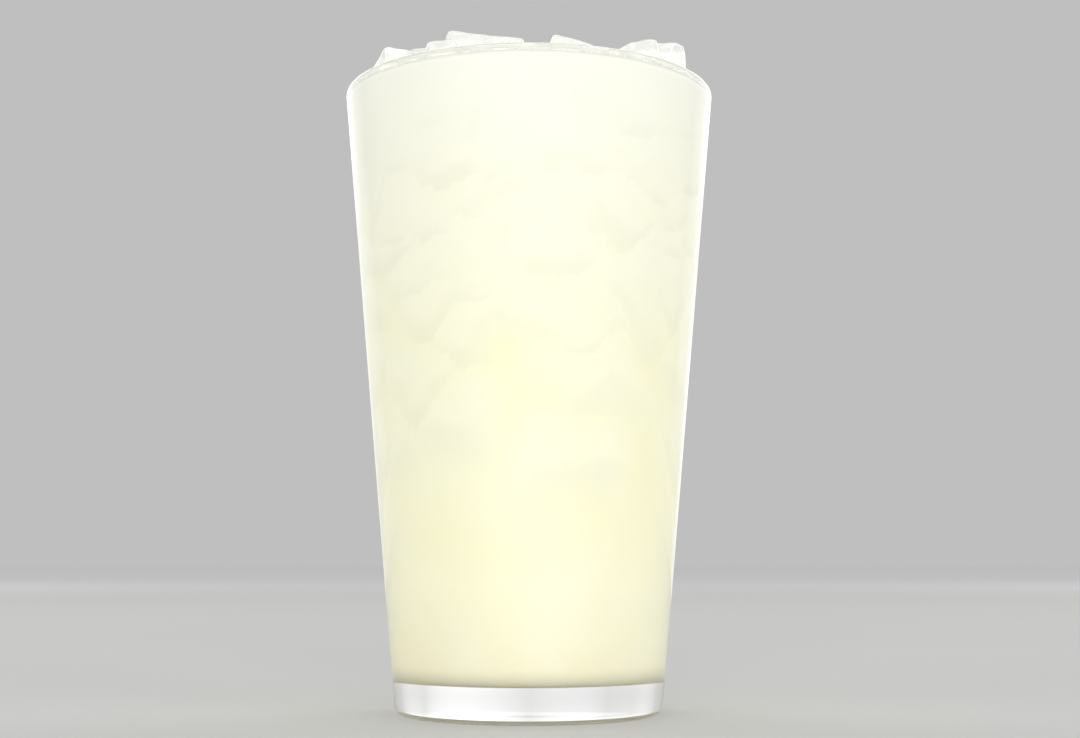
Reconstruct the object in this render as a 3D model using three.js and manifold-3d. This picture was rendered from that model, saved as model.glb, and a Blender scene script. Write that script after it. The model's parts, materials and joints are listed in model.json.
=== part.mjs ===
// A pint tumbler, brim-full of cloudy lemonade, with cracked ice heaped over its rim.
// Millimetres, +Z up. The origin is on the table, at the centre of the tumbler's base.

import * as THREE from "three";
import { RoundedBoxGeometry } from "three/addons/geometries/RoundedBoxGeometry.js";
import { mergeVertices } from "three/addons/utils/BufferGeometryUtils.js";
import Module from "manifold-3d";

// Tumbler
const HEIGHT = 148.3;
const RIM_RADIUS = 44.45;
const BASE_RADIUS = 31.2; // where the outer wall's slope meets the table
const RIM_WALL = 2.8;
const BASE_WALL = 4.6;
const BASE_THICKNESS = 8.2;
const RIM_FILLET = 1.3; // nearly half of the rim's wall, so that the lip is round
const HEEL_FILLET = 2.2;
const FLOOR_FILLET = 4.5; // inside, where the wall turns into the floor
const FOOT_WIDTH = 4.6; // the flat ring that stands on the table
const PUNT_DEPTH = 1.2; // the hollow under the base
const PUNT_SLOPE = 2.0; // how far in the foot's inner edge slopes

// Lemonade
const FREEBOARD = 2.0; // from the rim down to the lemonade
const MENISCUS_RISE = 0.7; // how far the lemonade climbs the wall
const MENISCUS_REACH = 3.0; // how far in from the wall it starts to climb
const MENISCUS_BEND = 0.18; // share of the rise that is left half-way in
const CLEARANCE = 0.3; // between solids that touch

// Heap of ice
const HEAP_RADIUS = 39.5;
const CROWN = 11.0; // how far the heap's dome stands above the rim at its middle
const DOME_RADIUS = 43.0; // where the dome comes down to the rim
const DOME_BACK = 5.0; // how far behind the tumbler's axis the dome's middle is
const BED_CROWN = 4.5; // the packed ice under the lumps, at its middle
const BED_EDGE = 1.2; // and at its edge, above the lemonade
const FILLER_COUNT = 46;
const FILLER_SPREAD = 36.5; // radius that the fillers' middles stay within
const FILLER_WIDTH = [10.5, 15.5];
const FILLER_HEIGHT = [9.5, 12.5];
const FILLER_SINK = 2.6; // the most that a filler's top lies under the dome
const FILLER_LEAN = 16; // degrees either way
const NEAREST = 0.5; // a filler keeps this share of a lump's width away from its middle
const EDGE_SHARE = 0.3; // a lump's rounding, as a share of its least side
const TAPER = 0.22; // how much narrower one end of a lump may be
const GOLDEN_ANGLE = Math.PI * (3 - Math.sqrt(5));

// The lumps that stand up over the front of the rim, from left to right. x and y are a lump's middle,
// top is its height above the table, size is its width, depth and height, and turn and lean are degrees.
const FRONT_LUMPS = [
  { x: -31.4, y: -18.0, top: 153.7, size: [10.0, 12.0, 12.0], turn: 18, lean: 0 },
  { x: -24.6, y: -25.0, top: 151.7, size: [7.0, 9.0, 9.0], turn: 32, lean: -4 },
  { x: -19.6, y: -27.0, top: 153.0, size: [7.0, 8.5, 9.0], turn: 8, lean: -6 },
  { x: -10.4, y: -22.0, top: 156.6, size: [18.0, 14.0, 13.0], turn: -5, lean: 8 },
  { x: 9.2, y: -26.5, top: 153.8, size: [11.0, 11.0, 12.0], turn: 6, lean: 10 },
  { x: 25.3, y: -20.0, top: 154.9, size: [11.5, 12.0, 12.0], turn: 14, lean: -4 },
  { x: 32.6, y: -13.5, top: 156.3, size: [8.5, 11.0, 12.0], turn: -10, lean: 0 },
];

// Facets
const TURN_SEGMENTS = 64;
const ARC_STEPS = 2; // each fillet has twice this many
const LUMP_STEPS = 1;

const LEVEL = HEIGHT - FREEBOARD;

const wasm = await Module();
wasm.setup();

// Outer and inner radius of the tumbler's wall at a height.
function outerRadius(z) {
  return THREE.MathUtils.mapLinear(z, 0, HEIGHT, BASE_RADIUS, RIM_RADIUS);
}

function innerRadius(z) {
  const wall = THREE.MathUtils.mapLinear(z, BASE_THICKNESS, HEIGHT, BASE_WALL, RIM_WALL);
  return outerRadius(z) - wall;
}

// A line through corners of [radius, height, fillet], with an arc at each corner that has a fillet.
function filletedProfile(corners) {
  const path = new THREE.Path();
  const points = corners.map(([radius, height]) => new THREE.Vector2(radius, height));
  path.moveTo(points[0].x, points[0].y);
  for (let i = 1; i < corners.length; i++) {
    const fillet = corners[i][2];
    const corner = points[i];
    if (!fillet) {
      path.lineTo(corner.x, corner.y);
      continue;
    }
    const back = points[i - 1].clone().sub(corner).normalize();
    const ahead = points[i + 1].clone().sub(corner).normalize();
    const half = back.angleTo(ahead) / 2;
    const inward = back.clone().add(ahead).normalize();
    const centre = corner.clone().addScaledVector(inward, fillet / Math.sin(half));
    const reach = fillet / Math.tan(half);
    const start = corner.clone().addScaledVector(back, reach).sub(centre);
    const end = corner.clone().addScaledVector(ahead, reach).sub(centre);
    const clockwise = back.cross(ahead) > 0;
    const arc = new THREE.ArcCurve(centre.x, centre.y, fillet, start.angle(), end.angle(), clockwise);
    const [first, last] = [arc.getPoint(0), arc.getPoint(1)];
    path.lineTo(first.x, first.y);
    path.add(arc);
    path.currentPoint.copy(last);
  }
  return path.getPoints(ARC_STEPS);
}

// Turns a profile about the Z axis.
function turned(profile) {
  return new THREE.LatheGeometry(profile, TURN_SEGMENTS).rotateX(Math.PI / 2);
}

// A closed geometry as a solid that can be joined and cut, and back again.
function solidOf(geometry) {
  const bare = geometry.clone();
  bare.deleteAttribute("normal");
  bare.deleteAttribute("uv");
  const merged = mergeVertices(bare);
  const mesh = new wasm.Mesh({
    numProp: 3,
    vertProperties: merged.getAttribute("position").array,
    triVerts: new Uint32Array(merged.index.array),
  });
  return new wasm.Manifold(mesh);
}

function geometryOf(solid) {
  const { vertProperties, triVerts } = solid.getMesh();
  const geometry = new THREE.BufferGeometry();
  geometry.setAttribute("position", new THREE.BufferAttribute(vertProperties, 3));
  geometry.setIndex(new THREE.BufferAttribute(triVerts, 1));
  geometry.computeVertexNormals();
  return geometry;
}

// A number from 0 to 1 that is always the same for the same lump and use.
function chance(lump, use) {
  const wave = Math.sin(lump * 12.9898 + use * 78.233) * 43758.5453;
  return wave - Math.floor(wave);
}

function chanceBetween([low, high], lump, use) {
  return THREE.MathUtils.lerp(low, high, chance(lump, use));
}

// The tumbler, from the middle of its underside, up the outer wall, over the lip and down to its floor.
function tumblerGeometry() {
  const footInner = BASE_RADIUS - HEEL_FILLET - FOOT_WIDTH;
  return turned(
    filletedProfile([
      [0, PUNT_DEPTH],
      [footInner - PUNT_SLOPE, PUNT_DEPTH],
      [footInner, 0],
      [BASE_RADIUS, 0, HEEL_FILLET],
      [RIM_RADIUS, HEIGHT, RIM_FILLET],
      [RIM_RADIUS - RIM_WALL, HEIGHT, RIM_FILLET],
      [innerRadius(BASE_THICKNESS), BASE_THICKNESS, FLOOR_FILLET],
      [0, BASE_THICKNESS],
    ]),
  );
}

// The lemonade, from the tumbler's floor to its level, with a lip where it climbs the wall.
function lemonadeGeometry() {
  const bottom = BASE_THICKNESS + CLEARANCE;
  const edge = LEVEL + MENISCUS_RISE;
  const edgeRadius = innerRadius(edge) - CLEARANCE;
  return turned(
    filletedProfile([
      [0, bottom],
      [innerRadius(bottom) - CLEARANCE, bottom, FLOOR_FILLET],
      [edgeRadius, edge],
      [edgeRadius - MENISCUS_REACH / 2, LEVEL + MENISCUS_RISE * MENISCUS_BEND],
      [edgeRadius - MENISCUS_REACH, LEVEL],
      [0, LEVEL],
    ]),
  );
}

// How high the heap's dome stands at a place, above the table.
function domeTop(x, y) {
  const out = Math.hypot(x, y - DOME_BACK) / DOME_RADIUS;
  return HEIGHT + CROWN * (1 - out * out);
}

// Lumps that fill the heap behind the front ones, in a spiral like that of a sunflower's seeds.
function fillerLumps() {
  const lumps = [];
  for (let i = 0; i < FILLER_COUNT; i++) {
    const radius = FILLER_SPREAD * Math.sqrt((i + 0.5) / FILLER_COUNT);
    const x = radius * Math.cos(i * GOLDEN_ANGLE);
    const y = radius * Math.sin(i * GOLDEN_ANGLE);
    const crowded = FRONT_LUMPS.some(
      (front) => Math.hypot(front.x - x, front.y - y) < NEAREST * front.size[0],
    );
    if (crowded) continue;
    lumps.push({
      x,
      y,
      top: domeTop(x, y) - FILLER_SINK * chance(i, 1),
      size: [
        chanceBetween(FILLER_WIDTH, i, 2),
        chanceBetween(FILLER_WIDTH, i, 3),
        chanceBetween(FILLER_HEIGHT, i, 4),
      ],
      turn: 360 * chance(i, 5),
      lean: FILLER_LEAN * (2 * chance(i, 6) - 1),
    });
  }
  return lumps;
}

// One lump: a rounded block that tapers towards one end, leant and turned, with its top at its height.
function lumpSolid({ x, y, top, size: [width, depth, height], turn, lean }, index) {
  const rounding = EDGE_SHARE * Math.min(width, depth, height);
  const block = new RoundedBoxGeometry(width, depth, height, LUMP_STEPS, rounding);
  const corners = block.getAttribute("position");
  for (let i = 0; i < corners.count; i++) {
    const across = 1 + TAPER * (chance(index, 7) - 0.5) * (corners.getZ(i) / height);
    const along = 1 + TAPER * (chance(index, 8) - 0.5) * (corners.getX(i) / width);
    corners.setX(i, corners.getX(i) * across);
    corners.setY(i, corners.getY(i) * along);
  }
  block.rotateY(THREE.MathUtils.degToRad(lean));
  block.rotateZ(THREE.MathUtils.degToRad(turn));
  block.computeBoundingBox();
  block.translate(x, y, top - block.boundingBox.max.z);
  return solidOf(block);
}

// The room for ice inside the mouth: clear of the lemonade and of the wall, and straight up from the rim.
function mouthSolid() {
  const floor = LEVEL + CLEARANCE;
  const ceiling = HEIGHT + 4 * CROWN;
  return solidOf(
    turned(
      filletedProfile([
        [0, floor],
        [HEAP_RADIUS - MENISCUS_REACH, floor],
        [HEAP_RADIUS, floor + MENISCUS_RISE + CLEARANCE],
        [HEAP_RADIUS, ceiling],
        [0, ceiling],
      ]),
    ),
  );
}

// The heap: packed ice under a dome, with every lump standing out of it.
function iceGeometry() {
  const floor = LEVEL + CLEARANCE;
  const bedRadius = HEAP_RADIUS - MENISCUS_REACH;
  const bed = new THREE.QuadraticBezierCurve(
    new THREE.Vector2(bedRadius, floor + BED_EDGE),
    new THREE.Vector2(bedRadius / 2, HEIGHT + BED_CROWN),
    new THREE.Vector2(0, HEIGHT + BED_CROWN),
  ).getPoints(2 * ARC_STEPS);
  const profile = [new THREE.Vector2(0, floor), new THREE.Vector2(bedRadius, floor), ...bed];
  const lumps = [...FRONT_LUMPS, ...fillerLumps()].map(lumpSolid);
  const heap = lumps.reduce((sum, lump) => sum.add(lump), solidOf(turned(profile)));
  return geometryOf(heap.intersect(mouthSolid()));
}

// The scene graph
function namedMesh(name, geometry, finish) {
  const mesh = new THREE.Mesh(geometry, new THREE.MeshStandardMaterial(finish));
  mesh.name = name;
  return mesh;
}

const clearGlass = { color: 0xf4f7f5, roughness: 0.03, metalness: 0, transparent: true, opacity: 0.35 };
const cloudyLemonade = { color: 0xfdf8d8, roughness: 0.2, metalness: 0 };
const wetIce = { color: 0xf8faf2, roughness: 0.12, metalness: 0, transparent: true, opacity: 0.75 };

const drink = new THREE.Group();
drink.add(
  namedMesh("glass", tumblerGeometry(), clearGlass),
  namedMesh("lemonade", lemonadeGeometry(), cloudyLemonade),
  namedMesh("ice_heap", iceGeometry(), wetIce),
);

export default drink;
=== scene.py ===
# A pint tumbler, brim-full of cloudy lemonade, with cracked ice heaped over its rim.
# Metres, +Z up. The origin is on the table, at the centre of the tumbler's base.

import json
import math
import random

import bmesh
import bpy
import numpy as np
from mathutils import Euler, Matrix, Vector
from mathutils.bvhtree import BVHTree

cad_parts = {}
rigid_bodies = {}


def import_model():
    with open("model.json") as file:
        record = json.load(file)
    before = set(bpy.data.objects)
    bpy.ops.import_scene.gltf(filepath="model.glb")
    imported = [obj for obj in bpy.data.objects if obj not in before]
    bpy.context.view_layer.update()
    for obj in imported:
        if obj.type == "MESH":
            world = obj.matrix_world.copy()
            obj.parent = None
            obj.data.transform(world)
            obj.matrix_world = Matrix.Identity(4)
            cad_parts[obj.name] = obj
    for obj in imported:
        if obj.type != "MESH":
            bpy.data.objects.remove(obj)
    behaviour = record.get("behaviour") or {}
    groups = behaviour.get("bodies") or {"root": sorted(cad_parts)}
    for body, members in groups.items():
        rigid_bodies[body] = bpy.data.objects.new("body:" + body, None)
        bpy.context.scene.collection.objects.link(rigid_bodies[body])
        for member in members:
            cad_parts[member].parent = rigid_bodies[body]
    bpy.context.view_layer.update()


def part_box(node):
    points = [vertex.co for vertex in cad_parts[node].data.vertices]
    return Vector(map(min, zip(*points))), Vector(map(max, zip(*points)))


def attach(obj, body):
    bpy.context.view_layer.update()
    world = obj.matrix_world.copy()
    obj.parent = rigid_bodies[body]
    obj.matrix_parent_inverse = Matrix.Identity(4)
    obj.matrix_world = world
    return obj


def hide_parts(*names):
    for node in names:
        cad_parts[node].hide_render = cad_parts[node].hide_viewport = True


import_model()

# Tumbler
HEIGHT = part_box("glass")[1].z
RIM_RADIUS = 0.04445
BASE_RADIUS = 0.0312
RIM_WALL = 0.0028
BASE_WALL = 0.0046
BASE_THICKNESS = 0.0082
RIM_FILLET = 0.00135
HEEL_FILLET = 0.0022
FLOOR_FILLET = 0.0045
FOOT_WIDTH = 0.0046
FOOT_FILLET = 0.0006
PUNT_DEPTH = 0.0012
PUNT_SLOPE = 0.002

# Lemonade
MENISCUS_RISE = 0.0007
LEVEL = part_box("lemonade")[1].z - MENISCUS_RISE
MENISCUS_REACH = 0.003
MENISCUS_FILLET = 0.0016
MENISCUS_BEND = (0.4, 0.2)  # where it bends, as shares of its reach and its rise
BITE = 0.00015  # how far the lemonade reaches into the wall, so that no air shows between them

# Ice that stands above the lemonade
CROWN = 0.011  # how far the heap's dome stands above the rim at its middle
DOME_RADIUS = 0.043
DOME_BACK = 0.005  # from the axis to the dome's middle
FILLER_COUNT = 46
FILLER_SPREAD = 0.0365
FILLER_WIDTH = (0.0105, 0.0155)
FILLER_HEIGHT = (0.0095, 0.0125)
FILLER_SINK = 0.0026  # the most that a filler's top lies under the dome
FILLER_LEAN = 16  # the most, in degrees
NEAREST = 0.5  # from a filler to a front lump, as a share of that lump's width
GOLDEN_ANGLE = math.pi * (3 - math.sqrt(5))
HEART_SHARE = 0.66  # a lump's cloudy heart, as a share of its size
ICE_GAP = 0.0004  # between the ice and the wall
WALL_SOFTNESS = 0.001  # how softly the ice turns along the wall
DENT_DEPTH = 0.0011
DENT_SIZE = 0.006

# The lumps that stand up over the front of the rim, from left to right: the middle's x and y, the
# top's height, the width, depth and height, and the turn and lean in degrees.
FRONT_LUMPS = [
    (-0.0314, -0.0180, 0.1537, (0.0100, 0.0120, 0.0120), 18, 0),
    (-0.0246, -0.0250, 0.1517, (0.0070, 0.0090, 0.0090), 32, -4),
    (-0.0196, -0.0270, 0.1530, (0.0070, 0.0085, 0.0090), 8, -6),
    (-0.0104, -0.0220, 0.1566, (0.0180, 0.0140, 0.0130), -5, 8),
    (0.0092, -0.0265, 0.1538, (0.0110, 0.0110, 0.0120), 6, 10),
    (0.0253, -0.0200, 0.1549, (0.0115, 0.0120, 0.0120), 14, -4),
    (0.0326, -0.0135, 0.1563, (0.0085, 0.0110, 0.0120), -10, 0),
]

# Packed ice under the lumps
BED_RADIUS = 0.0402
BED_SINK = 0.002  # below the lemonade's level
BED_EDGE = 0.0009  # above the lemonade's level
BED_CROWN = 0.0035  # above the rim
BED_SHOULDER = 0.55  # where the dome flattens, as a share of its radius
BED_FILLET = 0.012
BED_RELIEF = 0.0022
BED_GRAIN = 0.006
GRAIN_EDGE = 0.45  # from a grain's middle to where it meets the dome, as a share of its size
GRAIN_SMOOTHNESS = 0.35

# Chips of ice that lie on the lumps and the packed ice
CHIP_COUNT = 120
CHIP_SIZE = (0.0024, 0.0062)
CHIP_SPREAD = 0.0395
CHIP_SINK = 0.2  # from the ice under a chip to its middle, as a share of its size
CHIP_DENT = 0.0005

# Ice that is sunk in the lemonade, against the wall
SUNK_COUNT = 120
SUNK_LOWEST = 0.04
SUNK_SIZE = (0.009, 0.018)
SUNK_RISE = 0.42  # under 1 crowds the lumps towards the top
SUNK_DEPTH = (0.4, 0.75)  # from the wall to a lump's middle, as a share of its size
SUNK_COVER = 0.6  # from the surface to the highest lump's middle, as a share of its size
SUNK_STRAY = 0.5  # the most that a lump strays from its place round the wall, in radians
SUNK_GAP = 0.0003  # between the sunk ice and the wall

# Camera, at the photograph's viewing angle
PHOTO_WIDTH = 1080
FOCAL_PIXELS = 1667.9
CAMERA_DISTANCE = 0.3976
CAMERA_HEIGHT = 0.0353
CAMERA_TILT = 6.604
CAMERA_PAN = -0.383
SENSOR = 36.0

# Stage
FLOOR_RADIUS = 12.0
LIT_MIDDLE = (0, -0.4, 0)  # of the light that the lamps throw on the floor
LIT_FADE = (1.5, 3.6)  # from there to where the floor starts and ends to turn paler
ROOM_LIGHT = 0.52
LAMP_SPREAD = math.radians(100)


# Node trees


def add(tree, kind, inputs=(), **settings):
    """Adds a node, with its settings, and links or fills its inputs by name or number."""
    node = tree.nodes.new(kind)
    for name, value in settings.items():
        setattr(node, name, value)
    for key, value in dict(inputs).items():
        if isinstance(value, bpy.types.NodeSocket):
            tree.links.new(value, node.inputs[key])
        else:
            node.inputs[key].default_value = value
    return node


def calc(tree, operation, *values):
    return add(tree, "ShaderNodeMath", enumerate(values), operation=operation).outputs[0]


def whole(tree, operation, *values):
    return add(tree, "FunctionNodeIntegerMath", enumerate(values), operation=operation).outputs[0]


def vector(tree, operation, *values):
    node = add(tree, "ShaderNodeVectorMath", enumerate(values), operation=operation)
    return node.outputs["Value" if operation in ("DISTANCE", "LENGTH") else "Vector"]


def scaled(tree, way, length):
    node = add(tree, "ShaderNodeVectorMath", {0: way, "Scale": length}, operation="SCALE")
    return node.outputs[0]


def choose(tree, data_type, index, options):
    """The option that an index picks."""
    node = tree.nodes.new("GeometryNodeIndexSwitch")
    node.data_type = data_type
    while len(node.index_switch_items) < len(options):
        node.index_switch_items.new()
    tree.links.new(index, node.inputs["Index"])
    for number, option in enumerate(options):
        if isinstance(option, bpy.types.NodeSocket):
            tree.links.new(option, node.inputs[1 + number])
        else:
            node.inputs[1 + number].default_value = option
    return node.outputs[0]


SOCKETS = {
    "number": "NodeSocketFloat",
    "whole": "NodeSocketInt",
    "shape": "NodeSocketGeometry",
    "piece": "NodeSocketObject",
    "pieces": "NodeSocketCollection",
    "finish": "NodeSocketMaterial",
}


def new_tree(name, kind, inputs, outputs):
    """A node group with named inputs and outputs, each of one of the kinds in SOCKETS."""
    tree = bpy.data.node_groups.new(name, kind)
    for socket_name, socket_kind in inputs.items():
        tree.interface.new_socket(socket_name, in_out="INPUT", socket_type=SOCKETS[socket_kind])
    for socket_name, socket_kind in outputs.items():
        tree.interface.new_socket(socket_name, in_out="OUTPUT", socket_type=SOCKETS[socket_kind])
    return tree, tree.nodes.new("NodeGroupInput").outputs


def put_out(tree, **values):
    add(tree, "NodeGroupOutput", {name.replace("_", " "): value for name, value in values.items()})


def finish_shape(tree, shape, finish):
    """Ends a geometry tree: smooth faces, no instances, and the finish on all of it."""
    shape = add(tree, "GeometryNodeSetShadeSmooth", {"Geometry": shape}).outputs[0]
    shape = add(tree, "GeometryNodeRealizeInstances", {"Geometry": shape}).outputs[0]
    shape = add(tree, "GeometryNodeSetMaterial", {"Geometry": shape, "Material": finish}).outputs[0]
    put_out(tree, Shape=shape)


def grow(name, tree, values, mesh=None):
    """The piece that a geometry tree makes of a mesh with these values, as a plain mesh."""
    piece = bpy.data.objects.new(name, mesh or bpy.data.meshes.new(name))
    bpy.context.scene.collection.objects.link(piece)
    modifier = piece.modifiers.new(name, "NODES")
    modifier.node_group = tree
    for item in tree.interface.items_tree:
        if item.in_out == "INPUT" and item.name in values:
            modifier[item.identifier] = values[item.name]
    graph = bpy.context.evaluated_depsgraph_get()
    grown = bpy.data.meshes.new_from_object(
        piece.evaluated_get(graph), preserve_all_data_layers=True, depsgraph=graph
    )
    piece.modifiers.clear()
    piece.data = grown
    grown.name = name
    return piece


# Turned shapes

SAME_PLACE = 1e-6  # points nearer than this are one


def turned_tree(name, sizes, outline, extra=None, treat=None):
    """A tree that turns an outline about the Z axis. outline gives the corners, each with its
    radius, height and fillet, from the tree's sizes, and treat may change the turned shape."""
    inputs = {size: "number" for size in sizes} | {
        "Longest step": "number",
        "Turn steps": "whole",
        "Fillet steps": "whole",
        "Finish": "finish",
    }
    tree, given = new_tree(name, "GeometryNodeTree", inputs | (extra or {}), {"Shape": "shape"})
    corners = outline(tree, given)
    index = add(tree, "GeometryNodeInputIndex").outputs[0]
    here = add(tree, "GeometryNodeInputPosition").outputs[0]

    places = [add(tree, "ShaderNodeCombineXYZ", {"X": r, "Z": z}).outputs[0] for r, z, _ in corners]
    line = add(tree, "GeometryNodeCurvePrimitiveLine").outputs[0]
    line = add(tree, "GeometryNodeResampleCurve", {"Curve": line, "Count": len(corners)}).outputs[0]
    place = choose(tree, "VECTOR", index, places)
    line = add(tree, "GeometryNodeSetPosition", {"Geometry": line, "Position": place}).outputs[0]
    radius = choose(tree, "FLOAT", index, [fillet for _, _, fillet in corners])
    fillet = {"Curve": line, "Count": given["Fillet steps"], "Radius": radius, "Limit Radius": True}
    line = add(tree, "GeometryNodeFilletCurve", fillet, mode="POLY").outputs[0]
    after = whole(tree, "ADD", index, 1)
    ahead = add(tree, "GeometryNodeFieldAtIndex", {"Index": after}, data_type="FLOAT_VECTOR")
    tree.links.new(here, ahead.inputs["Value"])
    length = vector(tree, "DISTANCE", here, ahead.outputs[0])
    cuts = calc(tree, "FLOOR", calc(tree, "DIVIDE", length, given["Longest step"]))
    line = add(tree, "GeometryNodeSubdivideCurve", {"Curve": line, "Cuts": cuts}).outputs[0]
    strip = add(tree, "GeometryNodeCurveToMesh", {"Curve": line}).outputs[0]

    rows = add(tree, "GeometryNodeAttributeDomainSize", {"Geometry": strip}).outputs["Point Count"]
    columns = whole(tree, "ADD", given["Turn steps"], 1)
    grid = add(tree, "GeometryNodeMeshGrid", {"Vertices X": rows, "Vertices Y": columns}).outputs[0]
    row = whole(tree, "DIVIDE_FLOOR", index, columns)
    column = whole(tree, "MODULO", index, columns)
    source = {"Geometry": strip, "Index": row}
    sample = add(tree, "GeometryNodeSampleIndex", source, data_type="FLOAT_VECTOR")
    tree.links.new(here, sample.inputs["Value"])
    angle = calc(tree, "DIVIDE", calc(tree, "MULTIPLY", column, math.tau), given["Turn steps"])
    turn = {"Vector": sample.outputs[0], "Angle": angle}
    place = add(tree, "ShaderNodeVectorRotate", turn, rotation_type="Z_AXIS").outputs[0]
    shape = add(tree, "GeometryNodeSetPosition", {"Geometry": grid, "Position": place}).outputs[0]
    merge = {"Geometry": shape, "Distance": SAME_PLACE}
    shape = add(tree, "GeometryNodeMergeByDistance", merge).outputs[0]
    shape = add(tree, "GeometryNodeFlipFaces", {"Mesh": shape}).outputs[0]
    if treat:
        shape = treat(tree, given, shape)
    finish_shape(tree, shape, given["Finish"])
    return tree


WALL_SIZES = {
    "Height": HEIGHT,
    "Rim radius": RIM_RADIUS,
    "Base radius": BASE_RADIUS,
    "Rim wall": RIM_WALL,
    "Base wall": BASE_WALL,
    "Base thickness": BASE_THICKNESS,
}


def inner_radius(z):
    """The inside of the tumbler's wall at a height."""
    outer = BASE_RADIUS + (RIM_RADIUS - BASE_RADIUS) * z / HEIGHT
    share = (z - BASE_THICKNESS) / (HEIGHT - BASE_THICKNESS)
    return outer - BASE_WALL - (RIM_WALL - BASE_WALL) * share


def inner_radius_at(tree, given, z):
    """The same, worked out by a tree from its sizes."""
    spread = calc(tree, "SUBTRACT", given["Rim radius"], given["Base radius"])
    up = calc(tree, "DIVIDE", z, given["Height"])
    outer = calc(tree, "MULTIPLY_ADD", up, spread, given["Base radius"])
    top = calc(tree, "SUBTRACT", given["Height"], given["Base thickness"])
    share = calc(tree, "DIVIDE", calc(tree, "SUBTRACT", z, given["Base thickness"]), top)
    thinning = calc(tree, "SUBTRACT", given["Rim wall"], given["Base wall"])
    wall = calc(tree, "MULTIPLY_ADD", share, thinning, given["Base wall"])
    return calc(tree, "SUBTRACT", outer, wall)


def tumbler_outline(tree, given):
    """From the middle of the underside, up the outer wall, over the lip and down to the floor."""
    heel = calc(tree, "SUBTRACT", given["Base radius"], given["Heel fillet"])
    foot = calc(tree, "SUBTRACT", heel, given["Foot width"])
    punt = calc(tree, "SUBTRACT", foot, given["Punt slope"])
    lip = calc(tree, "SUBTRACT", given["Rim radius"], given["Rim wall"])
    floor = inner_radius_at(tree, given, given["Base thickness"])
    return [
        (0.0, given["Punt depth"], 0.0),
        (punt, given["Punt depth"], given["Punt slope"]),
        (foot, 0.0, given["Foot fillet"]),
        (given["Base radius"], 0.0, given["Heel fillet"]),
        (given["Rim radius"], given["Height"], given["Rim fillet"]),
        (lip, given["Height"], given["Rim fillet"]),
        (floor, given["Base thickness"], given["Floor fillet"]),
        (0.0, given["Base thickness"], 0.0),
    ]


def make_tumbler(finish):
    sizes = WALL_SIZES | {
        "Rim fillet": RIM_FILLET,
        "Heel fillet": HEEL_FILLET,
        "Floor fillet": FLOOR_FILLET,
        "Foot width": FOOT_WIDTH,
        "Foot fillet": FOOT_FILLET,
        "Punt depth": PUNT_DEPTH,
        "Punt slope": PUNT_SLOPE,
    }
    tree = turned_tree("turned_tumbler", sizes, tumbler_outline)
    steps = {"Longest step": 0.003, "Turn steps": 192, "Fillet steps": 10}
    return grow("tumbler", tree, sizes | steps | {"Finish": finish})


def lemonade_outline(tree, given):
    """From the tumbler's floor, up the wall to the meniscus and in to the middle of the surface."""
    bend_reach, bend_rise = MENISCUS_BEND
    bottom = calc(tree, "SUBTRACT", given["Base thickness"], given["Bite"])
    edge = calc(tree, "ADD", given["Level"], given["Meniscus rise"])
    low_radius = calc(tree, "ADD", inner_radius_at(tree, given, bottom), given["Bite"])
    edge_radius = calc(tree, "ADD", inner_radius_at(tree, given, edge), given["Bite"])
    bend = calc(tree, "MULTIPLY_ADD", given["Meniscus reach"], -bend_reach, edge_radius)
    flat = calc(tree, "SUBTRACT", edge_radius, given["Meniscus reach"])
    bend_height = calc(tree, "MULTIPLY_ADD", given["Meniscus rise"], bend_rise, given["Level"])
    return [
        (0.0, bottom, 0.0),
        (low_radius, bottom, given["Floor fillet"]),
        (edge_radius, edge, 0.0),
        (bend, bend_height, given["Meniscus fillet"]),
        (flat, given["Level"], given["Meniscus fillet"]),
        (0.0, given["Level"], 0.0),
    ]


def measure_ice(tree, given, shape):
    """Keeps how far each place on the lemonade is from the ice that is sunk in it, and how far
    above the place, from -1 to 1, that ice lies."""
    here = add(tree, "GeometryNodeInputPosition").outputs[0]
    ice = add(tree, "GeometryNodeObjectInfo", {"Object": given["Sunk ice"]}).outputs["Geometry"]
    near = add(tree, "GeometryNodeProximity", {"Geometry": ice}, target_element="FACES").outputs
    way = vector(tree, "NORMALIZE", vector(tree, "SUBTRACT", near["Position"], here))
    above = add(tree, "ShaderNodeSeparateXYZ", {0: way}).outputs["Z"]
    for name, value in (("ice_gap", near["Distance"]), ("ice_above", above)):
        keep = {"Geometry": shape, "Name": name, "Value": value}
        node = add(tree, "GeometryNodeStoreNamedAttribute", keep, data_type="FLOAT", domain="POINT")
        shape = node.outputs[0]
    return shape


def make_lemonade(finish, sunk_ice):
    sizes = WALL_SIZES | {
        "Bite": BITE,
        "Level": LEVEL,
        "Meniscus rise": MENISCUS_RISE,
        "Meniscus reach": MENISCUS_REACH,
        "Meniscus fillet": MENISCUS_FILLET,
        "Floor fillet": FLOOR_FILLET,
    }
    extra = {"Sunk ice": "piece"}
    tree = turned_tree("poured_lemonade", sizes, lemonade_outline, extra, measure_ice)
    steps = {"Longest step": 0.0014, "Turn steps": 216, "Fillet steps": 6}
    return grow("lemonade_fill", tree, sizes | steps | {"Sunk ice": sunk_ice, "Finish": finish})


def bed_outline(tree, given):
    """A low dome, from the middle of its underside."""
    edge = calc(tree, "ADD", given["Level"], given["Bed edge"])
    shoulder = calc(tree, "MULTIPLY", given["Bed radius"], BED_SHOULDER)
    return [
        (0.0, given["Bed floor"], 0.0),
        (given["Bed radius"], given["Bed floor"], 0.0),
        (given["Bed radius"], edge, given["Bed edge"]),
        (shoulder, given["Bed top"], given["Bed fillet"]),
        (0.0, given["Bed top"], 0.0),
    ]


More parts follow.
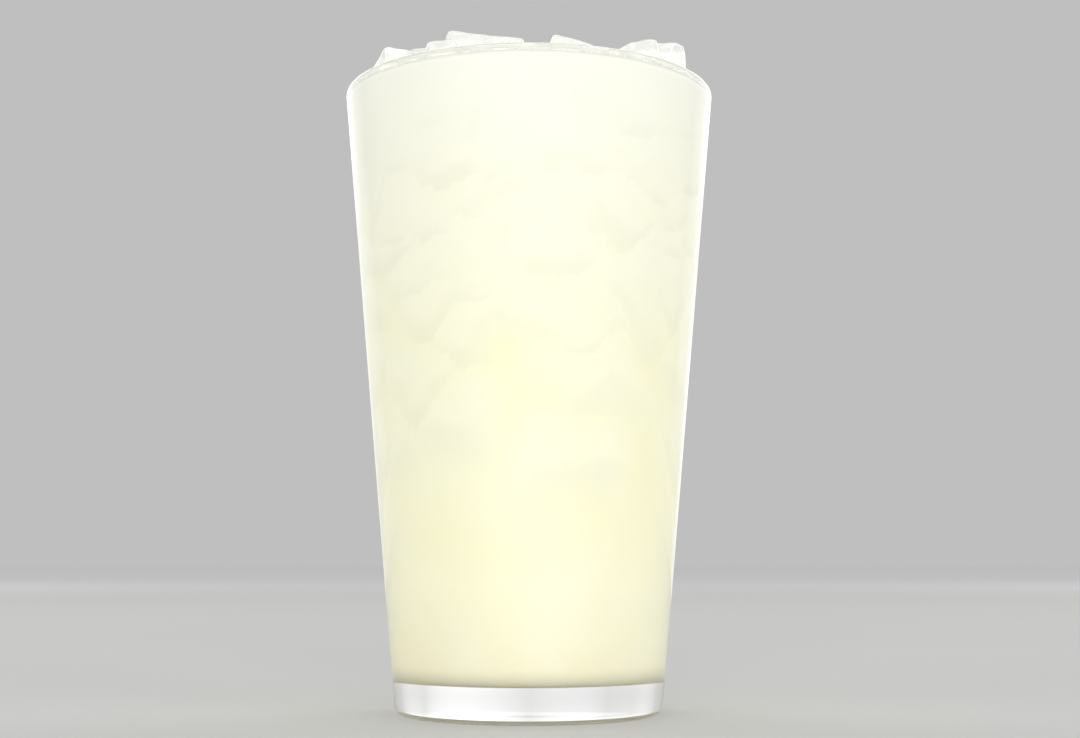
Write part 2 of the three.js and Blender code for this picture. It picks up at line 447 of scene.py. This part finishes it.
def crush_bed(tree, given, shape):
    """Raises the rounded grains of crushed ice on the dome."""
    here = add(tree, "GeometryNodeInputPosition").outputs[0]
    normal = add(tree, "GeometryNodeInputNormal").outputs[0]
    scale = calc(tree, "DIVIDE", 1.0, given["Grain"])
    grains = {"Vector": here, "Scale": scale, "Smoothness": GRAIN_SMOOTHNESS}
    far = add(tree, "ShaderNodeTexVoronoi", grains, feature="SMOOTH_F1").outputs["Distance"]
    height = calc(tree, "MULTIPLY", calc(tree, "SUBTRACT", GRAIN_EDGE, far), given["Relief"])
    offset = scaled(tree, normal, height)
    return add(tree, "GeometryNodeSetPosition", {"Geometry": shape, "Offset": offset}).outputs[0]


def make_bed(finish):
    sizes = {
        "Level": LEVEL,
        "Bed radius": BED_RADIUS,
        "Bed floor": LEVEL - BED_SINK,
        "Bed edge": BED_EDGE,
        "Bed top": HEIGHT + BED_CROWN,
        "Bed fillet": BED_FILLET,
        "Grain": BED_GRAIN,
        "Relief": BED_RELIEF,
    }
    tree = turned_tree("packed_bed", sizes, bed_outline, treat=crush_bed)
    steps = {"Longest step": 0.0007, "Turn steps": 180, "Fillet steps": 8}
    return grow("ice_bed", tree, sizes | steps | {"Finish": finish})


# Ice


def chance(lump, use):
    """A number from 0 to 1 that is always the same for the same lump and use."""
    wave = math.sin(lump * 12.9898 + use * 78.233) * 43758.5453
    return wave - math.floor(wave)


def chance_between(limits, lump, use):
    low, high = limits
    return low + (high - low) * chance(lump, use)


SHAPE_COUNT = 9
CRACKS = 6
CRACK_REACH = (0.62, 0.86)  # how much of the block a crack leaves on its side
MELT = 0.4  # how far the melting smooths a block, as a share of its size
MELT_FACTOR = 0.5
FINE_STEP = 0.06  # between a block's points, as a share of its size
COARSE_STEP = 0.11
ON_AXIS = 1e-5  # a point nearer to the axis than this isn't moved by the wall


def cracked_block(seed, step):
    """A block of ice of unit size with pieces cracked off it and its edges melted round."""
    draw = random.Random(seed)
    bm = bmesh.new()
    bmesh.ops.create_cube(bm, size=1.0)
    for _ in range(CRACKS):
        way = Vector([draw.gauss(0, 1) for _ in range(3)]).normalized()
        reach = 0.5 * sum(abs(part) for part in way) * draw.uniform(*CRACK_REACH)
        everything = bm.verts[:] + bm.edges[:] + bm.faces[:]
        cut = bmesh.ops.bisect_plane(
            bm, geom=everything, plane_co=way * reach, plane_no=way, clear_outer=True
        )
        edges = [part for part in cut["geom_cut"] if isinstance(part, bmesh.types.BMEdge)]
        if edges:
            bmesh.ops.contextual_create(bm, geom=edges)
    bmesh.ops.recalc_face_normals(bm, faces=bm.faces[:])
    mesh = bpy.data.meshes.new(f"lump_{seed}")
    bm.to_mesh(mesh)
    bm.free()

    block = bpy.data.objects.new(f"lump_{seed}", mesh)
    bpy.context.scene.collection.objects.link(block)
    remesh = block.modifiers.new("even", "REMESH")
    remesh.mode = "VOXEL"
    remesh.voxel_size = step
    melt = block.modifiers.new("melt", "SMOOTH")
    melt.factor = MELT_FACTOR
    melt.iterations = round(MELT / step)
    graph = bpy.context.evaluated_depsgraph_get()
    melted = bpy.data.meshes.new_from_object(block.evaluated_get(graph), depsgraph=graph)
    block.modifiers.clear()
    block.data = melted
    places = np.empty(len(melted.vertices) * 3)
    melted.vertices.foreach_get("co", places)
    places = places.reshape(-1, 3)
    low, high = places.min(0), places.max(0)
    places = (places - (low + high) / 2) / (high - low)
    melted.vertices.foreach_set("co", places.ravel())
    bpy.context.scene.collection.objects.unlink(block)
    return block, places


def lump_shapes(name, step):
    """A collection of cracked blocks, and where each one's points are."""
    blocks, places = zip(*[cracked_block(seed, step) for seed in range(SHAPE_COUNT)])
    shapes = bpy.data.collections.new(name)
    for block in blocks:
        shapes.objects.link(block)
    return shapes, places


def dome_top(x, y):
    """How high the heap's dome stands at a place."""
    out = math.hypot(x, y - DOME_BACK) / DOME_RADIUS
    return HEIGHT + CROWN * (1 - out * out)


def filler_lumps():
    """Lumps that fill the heap behind the front ones, in a spiral like a sunflower's seeds."""
    for i in range(FILLER_COUNT):
        radius = FILLER_SPREAD * math.sqrt((i + 0.5) / FILLER_COUNT)
        x = radius * math.cos(i * GOLDEN_ANGLE)
        y = radius * math.sin(i * GOLDEN_ANGLE)
        if any(math.hypot(lump[0] - x, lump[1] - y) < NEAREST * lump[3][0] for lump in FRONT_LUMPS):
            continue
        top = dome_top(x, y) - FILLER_SINK * chance(i, 1)
        size = (
            chance_between(FILLER_WIDTH, i, 2),
            chance_between(FILLER_WIDTH, i, 3),
            chance_between(FILLER_HEIGHT, i, 4),
        )
        yield x, y, top, size, 360 * chance(i, 5), FILLER_LEAN * (2 * chance(i, 6) - 1)


def heap_lumps(shapes):
    """Each lump of the heap, as its middle, size, turn and shape."""
    for i, (x, y, top, size, turn, lean) in enumerate([*FRONT_LUMPS, *filler_lumps()]):
        shape = i % SHAPE_COUNT
        way = Euler((0, math.radians(lean), math.radians(turn)))
        turned = (shapes[shape] * size) @ np.array(way.to_matrix()).T
        yield (x, y, top - turned[:, 2].max()), size, way, shape


def sight_line(x, y):
    """The height at which the photograph's view over the front of the rim passes above a place."""
    slope = (HEIGHT - CAMERA_HEIGHT) / (CAMERA_DISTANCE - RIM_RADIUS)
    return HEIGHT + slope * (y + math.sqrt(RIM_RADIUS**2 - x * x))


def chip_lumps(*heap):
    """Each chip that lies on the pieces of the heap and doesn't change the outline they make."""
    corners, faces = [], []
    for piece in heap:
        start = len(corners)
        corners += [corner.co for corner in piece.data.vertices]
        faces += [[start + index for index in face.vertices] for face in piece.data.polygons]
    ground = BVHTree.FromPolygons(corners, faces)
    for i in range(CHIP_COUNT):
        size = [chance_between(CHIP_SIZE, i, use) for use in (21, 22, 23)]
        radius = CHIP_SPREAD * math.sqrt((i + 0.5) / CHIP_COUNT)
        angle = i * GOLDEN_ANGLE + chance(i, 24)
        x, y = radius * math.cos(angle), radius * math.sin(angle)
        below = ground.ray_cast((x, y, HEIGHT + 2 * CROWN), (0, 0, -1))[0]
        if below is None or below.z + max(size) > sight_line(x, y):
            continue
        way = Euler([math.tau * chance(i, use) for use in (25, 26, 27)])
        yield (x, y, below.z + CHIP_SINK * min(size)), size, way, i % SHAPE_COUNT


def sunk_lumps():
    """Each lump that is sunk in the lemonade by the wall, most of them near the surface."""
    for i in range(SUNK_COUNT):
        size = [chance_between(SUNK_SIZE, i, use) for use in (11, 12, 13)]
        highest = LEVEL - SUNK_COVER * max(size)
        z = SUNK_LOWEST + (highest - SUNK_LOWEST) * ((i + 0.5) / SUNK_COUNT) ** SUNK_RISE
        radius = inner_radius(z) - chance_between(SUNK_DEPTH, i, 14) * size[0]
        angle = i * GOLDEN_ANGLE + SUNK_STRAY * chance(i, 15)
        way = Euler([math.tau * chance(i, use) for use in (16, 17, 18)])
        yield (radius * math.cos(angle), radius * math.sin(angle), z), size, way, i % SHAPE_COUNT


def scatter_tree():
    """A tree that puts a lump of ice at each point of a mesh and dents it. The mesh's points hold
    each lump's size, turn and shape. No lump goes through the wall."""
    inputs = {
        "Points": "shape",
        "Shapes": "pieces",
        "Size share": "number",
        "Dent depth": "number",
        "Dent size": "number",
        "Wall gap": "number",
        "Wall softness": "number",
        "Finish": "finish",
    }
    sizes = {size: "number" for size in WALL_SIZES}
    tree, given = new_tree("scattered_ice", "GeometryNodeTree", inputs | sizes, {"Shape": "shape"})

    def kept(name, data_type):
        node = add(tree, "GeometryNodeInputNamedAttribute", {"Name": name}, data_type=data_type)
        return node.outputs["Attribute"]

    shapes = {"Collection": given["Shapes"], "Separate Children": True, "Reset Children": True}
    turn = {0: kept("lump_turn", "FLOAT_VECTOR")}
    lumps = {
        "Points": given["Points"],
        "Instance": add(tree, "GeometryNodeCollectionInfo", shapes).outputs[0],
        "Pick Instance": True,
        "Instance Index": kept("lump_shape", "INT"),
        "Rotation": add(tree, "FunctionNodeEulerToRotation", turn).outputs[0],
        "Scale": scaled(tree, kept("lump_size", "FLOAT_VECTOR"), given["Size share"]),
    }
    shape = add(tree, "GeometryNodeInstanceOnPoints", lumps).outputs[0]
    shape = add(tree, "GeometryNodeRealizeInstances", {"Geometry": shape}).outputs[0]

    here = add(tree, "GeometryNodeInputPosition").outputs[0]
    normal = add(tree, "GeometryNodeInputNormal").outputs[0]
    noise = {"Vector": here, "Scale": calc(tree, "DIVIDE", 1.0, given["Dent size"]), "Detail": 2.0}
    dent = calc(tree, "SUBTRACT", add(tree, "ShaderNodeTexNoise", noise).outputs["Fac"], 0.5)
    offset = scaled(tree, normal, calc(tree, "MULTIPLY", dent, given["Dent depth"]))
    shape = add(tree, "GeometryNodeSetPosition", {"Geometry": shape, "Offset": offset}).outputs[0]

    parts = add(tree, "ShaderNodeSeparateXYZ", {0: here}).outputs
    flat = add(tree, "ShaderNodeCombineXYZ", {"X": parts["X"], "Y": parts["Y"]}).outputs[0]
    out = vector(tree, "LENGTH", flat)
    height = calc(tree, "MINIMUM", parts["Z"], given["Height"])
    limit = calc(tree, "SUBTRACT", inner_radius_at(tree, given, height), given["Wall gap"])
    held = calc(tree, "SMOOTH_MIN", out, limit, given["Wall softness"])
    moved = scaled(tree, flat, calc(tree, "DIVIDE", held, calc(tree, "MAXIMUM", out, ON_AXIS)))
    rise = add(tree, "ShaderNodeCombineXYZ", {"Z": parts["Z"]}).outputs[0]
    place = vector(tree, "ADD", moved, rise)
    shape = add(tree, "GeometryNodeSetPosition", {"Geometry": shape, "Position": place}).outputs[0]
    finish_shape(tree, shape, given["Finish"])
    return tree


def lump_points(name, lumps):
    """A mesh with a point at each lump's middle that holds its size, turn and shape."""
    lumps = list(lumps)
    mesh = bpy.data.meshes.new(name)
    mesh.from_pydata([place for place, *_ in lumps], [], [])
    _, sizes, ways, shapes = zip(*lumps)
    for attribute, kind, member, values in (
        ("lump_size", "FLOAT_VECTOR", "vector", np.ravel(sizes)),
        ("lump_turn", "FLOAT_VECTOR", "vector", np.ravel(ways)),
        ("lump_shape", "INT", "value", shapes),
    ):
        mesh.attributes.new(attribute, kind, "POINT").data.foreach_set(member, values)
    return mesh


# Finishes


def new_material(name):
    material = bpy.data.materials.new(name)
    material.use_nodes = True
    material.node_tree.nodes.clear()
    return material, material.node_tree


def eased(tree, value, limits, easing="SMOOTHSTEP"):
    """A share that goes smoothly from 0 to 1 as the value goes from one limit to the other."""
    low, high = limits
    span = {"Value": value, "From Min": low, "From Max": high}
    return add(tree, "ShaderNodeMapRange", span, interpolation_type=easing).outputs["Result"]


def clouds_group():
    """Soft patches: a mask that is 1 in the thick of a cloud and 0 between clouds."""
    inputs = {"Size": "number", "Low": "number", "High": "number", "Twist": "number"}
    tree, given = new_tree("clouds", "ShaderNodeTree", inputs, {"Mask": "number"})
    here = add(tree, "ShaderNodeTexCoord").outputs["Object"]
    noise = {
        "Vector": here,
        "Scale": calc(tree, "DIVIDE", 1.0, given["Size"]),
        "Detail": 3.0,
        "Roughness": 0.5,
        "Distortion": given["Twist"],
    }
    fac = add(tree, "ShaderNodeTexNoise", noise).outputs["Fac"]
    put_out(tree, Mask=eased(tree, fac, (given["Low"], given["High"])))
    return tree


def clouds(tree, group, size, low, high, twist=0.0):
    values = {"Size": size, "Low": low, "High": high, "Twist": twist}
    return add(tree, "ShaderNodeGroup", values, node_tree=group).outputs["Mask"]


def blend_colours(tree, share, first, second):
    mix = {0: share, 6: first, 7: second}  # the colour sockets of this node are numbers 6 and 7
    return add(tree, "ShaderNodeMix", mix, data_type="RGBA").outputs[2]


def between(tree, share, low, high):
    limits = {"Value": share, "To Min": low, "To Max": high}
    return add(tree, "ShaderNodeMapRange", limits).outputs["Result"]


def end_dull(tree, surface):
    """Ends the finish of something that no light goes through."""
    shader = add(tree, "ShaderNodeBsdfPrincipled", surface).outputs[0]
    add(tree, "ShaderNodeOutputMaterial", {"Surface": shader})


def end_clear(tree, surface, tint):
    """Ends the finish of something clear. Light on its way to or from a dull surface goes straight
    through it."""
    shader = add(tree, "ShaderNodeBsdfPrincipled", surface).outputs[0]
    ray = add(tree, "ShaderNodeLightPath").outputs
    open_way = add(tree, "ShaderNodeBsdfTransparent", {"Color": tint}).outputs[0]
    for kind in ("Is Shadow Ray", "Is Diffuse Ray"):
        shader = add(tree, "ShaderNodeMixShader", {0: ray[kind], 1: shader, 2: open_way}).outputs[0]
    add(tree, "ShaderNodeOutputMaterial", {"Surface": shader})


def glass_finish(group):
    material, tree = new_material("clear_glass")
    smudges = clouds(tree, group, 0.03, 0.4, 0.75)
    waves = clouds(tree, group, 0.02, 0.2, 0.8)
    bump = add(tree, "ShaderNodeBump", {"Height": waves, "Strength": 0.02, "Distance": 0.0005})
    surface = {
        "Base Color": blend_colours(tree, smudges, (1.0, 1.0, 1.0, 1), (0.985, 0.992, 0.985, 1)),
        "Roughness": between(tree, smudges, 0.0, 0.03),
        "IOR": 1.5,
        "Transmission Weight": 1.0,
        "Normal": bump.outputs[0],
    }
    end_clear(tree, surface, (0.97, 0.98, 0.97, 1))
    return material


# The lemonade's tones up its height, with painted light in them: the darker beige near the
# tumbler's floor is painted shade, and the paler stop at 0.16 is painted light that makes up for
# the lamps lighting the low part less
LEMONADE_TONES_AND_SHADE = [  # from the tumbler's floor to the surface
    (0.0, (0.88, 0.82, 0.58, 1)),
    (0.07, (0.93, 0.885, 0.625, 1)),
    (0.16, (0.96, 0.93, 0.66, 1)),
    (0.55, (0.955, 0.92, 0.58, 1)),
    (0.8, (0.95, 0.93, 0.67, 1)),
    (1.0, (0.94, 0.935, 0.85, 1)),
]
PULP_SHARE = 0.4  # how much the clouds of pulp change the colour
ICE_SHOWS = (0.011, 0.0006)  # from the sunk ice to where it starts and ends to show
ICE_SHARE = (0.15, 0.7)  # how much it shows at the floor and at the surface
SHADE_SHARE = 0.16  # how much the shade under it shows


def lemonade_finish(group):
    material, tree = new_material("cloudy_lemonade")
    here = add(tree, "ShaderNodeTexCoord").outputs["Object"]
    height = add(tree, "ShaderNodeSeparateXYZ", {0: here}).outputs["Z"]
    limits = {"Value": height, "From Min": BASE_THICKNESS, "From Max": LEVEL}
    share = add(tree, "ShaderNodeMapRange", limits).outputs["Result"]
    # Colour by height: the lemonade's own tones, with painted shade near the floor and painted
    # light just above it
    ramp = add(tree, "ShaderNodeValToRGB", {0: share})
    stops = ramp.color_ramp.elements
    lowest, *others, highest = LEMONADE_TONES_AND_SHADE
    stops[0].position, stops[0].color = lowest
    stops[1].position, stops[1].color = highest
    for place, colour in others:
        stops.new(place).color = colour
    thick = clouds(tree, group, 0.03, 0.3, 0.7, 0.6)
    pulp = calc(tree, "MULTIPLY", thick, PULP_SHARE)
    colour = blend_colours(tree, pulp, ramp.outputs[0], (0.955, 0.94, 0.79, 1))

    gap = add(tree, "ShaderNodeAttribute", attribute_name="ice_gap").outputs["Fac"]
    near = eased(tree, gap, ICE_SHOWS, "SMOOTHERSTEP")
    by_ice = calc(tree, "MULTIPLY", near, between(tree, share, *ICE_SHARE))
    colour = blend_colours(tree, by_ice, colour, (0.955, 0.95, 0.84, 1))
    # Painted shade: where sunk ice lies above a place, the lemonade's colour is darkened towards a
    # dull olive, as if the ice shaded it
    above = add(tree, "ShaderNodeAttribute", attribute_name="ice_above").outputs["Fac"]
    painted_shade_under_ice = calc(tree, "MULTIPLY", calc(tree, "MULTIPLY", above, near), SHADE_SHARE)
    colour = blend_colours(tree, painted_shade_under_ice, colour, (0.62, 0.60, 0.46, 1))
    surface = {
        "Base Color": colour,
        "Roughness": between(tree, thick, 0.12, 0.22),
        "IOR": 1.34,
        "Specular IOR Level": 0.3,
    }
    end_dull(tree, surface)
    return material


def ice_finish(group):
    material, tree = new_material("wet_ice")
    frost = clouds(tree, group, 0.006, 0.35, 0.7, 0.4)
    melt = clouds(tree, group, 0.0022, 0.2, 0.8)
    bump = add(tree, "ShaderNodeBump", {"Height": melt, "Strength": 0.25, "Distance": 0.0006})
    surface = {
        "Base Color": blend_colours(tree, frost, (0.985, 0.99, 0.975, 1), (0.95, 0.955, 0.935, 1)),
        "Roughness": between(tree, frost, 0.04, 0.22),
        "IOR": 1.31,
        "Transmission Weight": 0.55,
        "Normal": bump.outputs[0],
    }
    end_clear(tree, surface, (0.97, 0.975, 0.965, 1))
    return material


def white_ice_finish(name, group, thick_colour, clear_colour, size):
    material, tree = new_material(name)
    thick = clouds(tree, group, size, 0.3, 0.7, 0.8)
    grain = clouds(tree, group, 0.3 * size, 0.2, 0.8)
    bump = add(tree, "ShaderNodeBump", {"Height": grain, "Strength": 0.3, "Distance": 0.0005})
    surface = {
        "Base Color": blend_colours(tree, thick, clear_colour, thick_colour),
        "Roughness": between(tree, thick, 0.2, 0.45),
        "IOR": 1.31,
        "Normal": bump.outputs[0],
    }
    end_dull(tree, surface)
    return material


def stage_finish(group):
    """Paler far out, where less lamp light falls, so that the floor ends as bright as the room."""
    material, tree = new_material("pale_stage")
    patches = clouds(tree, group, 0.25, 0.2, 0.8)
    near = blend_colours(tree, patches, (0.605, 0.605, 0.6, 1), (0.62, 0.62, 0.615, 1))
    here = add(tree, "ShaderNodeTexCoord").outputs["Object"]
    far = eased(tree, vector(tree, "DISTANCE", here, LIT_MIDDLE), LIT_FADE)
    surface = {
        "Base Color": blend_colours(tree, far, near, (0.97, 0.97, 0.97, 1)),
        "Roughness": between(tree, patches, 0.6, 0.7),
        "Specular IOR Level": 0.0,
    }
    end_dull(tree, surface)
    return material


# Stage, lights and camera


def make_stage(finish):
    """A round floor that reaches far past what the camera sees of it."""
    bm = bmesh.new()
    bmesh.ops.create_circle(bm, cap_ends=True, cap_tris=True, segments=96, radius=FLOOR_RADIUS)
    mesh = bpy.data.meshes.new("stage")
    bm.to_mesh(mesh)
    bm.free()
    mesh.materials.append(finish)
    stage = bpy.data.objects.new("stage", mesh)
    bpy.context.scene.collection.objects.link(stage)


def make_light(name, place, aim, size, power, seen_in=()):
    """A soft lamp. It shows in what seen_in names: gloss, or what is behind glass."""
    lamp = bpy.data.lights.new(name, "AREA")
    lamp.shape = "RECTANGLE"
    lamp.size, lamp.size_y = size
    lamp.energy = power
    lamp.spread = LAMP_SPREAD
    light = bpy.data.objects.new(name, lamp)
    light.location = place
    light.rotation_euler = (Vector(aim) - Vector(place)).to_track_quat("-Z", "Y").to_euler()
    light.visible_camera = False
    light.visible_glossy = "gloss" in seen_in
    light.visible_transmission = "glass" in seen_in
    bpy.context.scene.collection.objects.link(light)
    return light


def make_card(name, place, size, glow):
    """A card that glows softest at its edges and shows only in the glass and the ice."""
    width, height = size
    level = (0, 0, place[2])
    power = glow * math.pi * width * height
    light = make_light(name, place, level, size, power, ("gloss", "glass"))
    light.visible_diffuse = False
    light.data.spread = math.pi
    light.data.use_nodes = True
    tree = light.data.node_tree
    here = add(tree, "ShaderNodeNewGeometry").outputs["Parametric"]
    across = add(tree, "ShaderNodeSeparateXYZ", {0: here})
    strength = 1.0
    for axis in ("X", "Y"):
        share = across.outputs[axis]
        rest = calc(tree, "SUBTRACT", 1.0, share)
        hump = calc(tree, "MULTIPLY", calc(tree, "MULTIPLY", share, rest), 4.0)  # 1 at the middle
        strength = calc(tree, "MULTIPLY", strength, hump)
    tree.links.new(strength, tree.nodes["Emission"].inputs["Strength"])


def light_scene():
    middle = (0, 0, 0.08)
    make_light("front", (0, -3.0, 0.85), middle, (2.9, 1.6), 17)
    make_light("left", (-2.45, -1.8, 0.95), middle, (2.0, 1.8), 5)
    make_light("right", (2.45, -1.8, 0.95), middle, (2.0, 1.8), 7)
    make_light("back_left", (-2.45, 1.8, 1.0), middle, (2.0, 1.8), 10)
    make_light("back_right", (2.45, 1.8, 1.0), middle, (2.0, 1.8), 10)
    make_light("back_top", (0, 2.0, 2.9), middle, (2.7, 1.6), 4, ("gloss", "glass"))
    make_card("crown_card", (0, 1.0, 0.65), (1.6, 0.7), 1.2)
    make_card("base_card", (0.08, 0.75, 0.1), (0.8, 0.3), 0.45)
    for name, side in (("left", -1), ("right", 1)):
        make_card(name + "_edge_card", (0.36 * side, 0.66, 0.3), (0.8, 0.7), 0.65)
        make_card(name + "_base_card", (0.65 * side, 0.4, 0.1), (0.7, 0.3), 0.2)
    world = bpy.data.worlds.new("soft_room")
    world.use_nodes = True
    world.node_tree.nodes["Background"].inputs["Color"].default_value = (1.0, 1.0, 1.0, 1)
    world.node_tree.nodes["Background"].inputs["Strength"].default_value = ROOM_LIGHT
    bpy.context.scene.world = world
    bpy.context.scene.view_settings.view_transform = "Standard"


def make_camera():
    lens = bpy.data.cameras.new("camera")
    lens.sensor_width = SENSOR
    lens.sensor_fit = "HORIZONTAL"
    lens.lens = FOCAL_PIXELS / PHOTO_WIDTH * SENSOR
    camera = bpy.data.objects.new("camera", lens)
    camera.location = (0, -CAMERA_DISTANCE, CAMERA_HEIGHT)
    camera.rotation_euler = (math.radians(90 + CAMERA_TILT), 0, math.radians(CAMERA_PAN))
    bpy.context.scene.collection.objects.link(camera)
    bpy.context.scene.camera = camera


def main():
    make_camera()
    group = clouds_group()
    wet_ice = ice_finish(group)
    heart_ice, bed_ice, sunk_white = (
        white_ice_finish(name, group, thick_colour, clear_colour, size)
        for name, thick_colour, clear_colour, size in (
            ("cloudy_heart", (0.93, 0.935, 0.87, 1), (0.86, 0.87, 0.80, 1), 0.004),
            ("packed_ice", (0.90, 0.905, 0.84, 1), (0.84, 0.84, 0.74, 1), 0.008),
            ("sunk_white", (0.95, 0.95, 0.88, 1), (0.94, 0.94, 0.84, 1), 0.007),
        )
    )

    fine, shapes = lump_shapes("fine_lumps", FINE_STEP)
    coarse, _ = lump_shapes("coarse_lumps", COARSE_STEP)
    tree = scatter_tree()
    scatter = WALL_SIZES | {
        "Size share": 1.0,
        "Dent depth": DENT_DEPTH,
        "Dent size": DENT_SIZE,
        "Wall gap": ICE_GAP,
        "Wall softness": WALL_SOFTNESS,
    }
    heap = list(heap_lumps(shapes))
    lumps = scatter | {"Shapes": fine, "Finish": wet_ice}
    ice_lumps = grow("ice_lumps", tree, lumps, lump_points("ice_lumps", heap))
    hearts = scatter | {"Shapes": coarse, "Finish": heart_ice, "Size share": HEART_SHARE}
    ice_hearts = grow("ice_hearts", tree, hearts, lump_points("ice_hearts", heap))
    sunk = scatter | {"Shapes": coarse, "Finish": sunk_white, "Wall gap": SUNK_GAP}
    sunk_ice = grow("sunk_ice", tree, sunk, lump_points("sunk_ice", sunk_lumps()))
    ice_bed = make_bed(bed_ice)
    chips = scatter | {"Shapes": coarse, "Finish": wet_ice, "Dent depth": CHIP_DENT}
    on_heap = lump_points("ice_chips", chip_lumps(ice_lumps, ice_bed))
    ice_chips = grow("ice_chips", tree, chips, on_heap)
    for shape in [*fine.objects, *coarse.objects]:
        bpy.data.objects.remove(shape)

    lemonade_fill = make_lemonade(lemonade_finish(group), sunk_ice)
    tumbler = make_tumbler(glass_finish(group))

    for piece, node, slot in (
        (tumbler, "glass", "clear_glass"),
        (lemonade_fill, "lemonade", "lemonade"),
        (sunk_ice, "lemonade", "ice"),
        (ice_bed, "ice_heap", "ice"),
        (ice_lumps, "ice_heap", "ice"),
        (ice_hearts, "ice_heap", "ice"),
        (ice_chips, "ice_heap", "ice"),
    ):
        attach(piece, "root")
        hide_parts(node)

    make_stage(stage_finish(group))
    light_scene()


main()
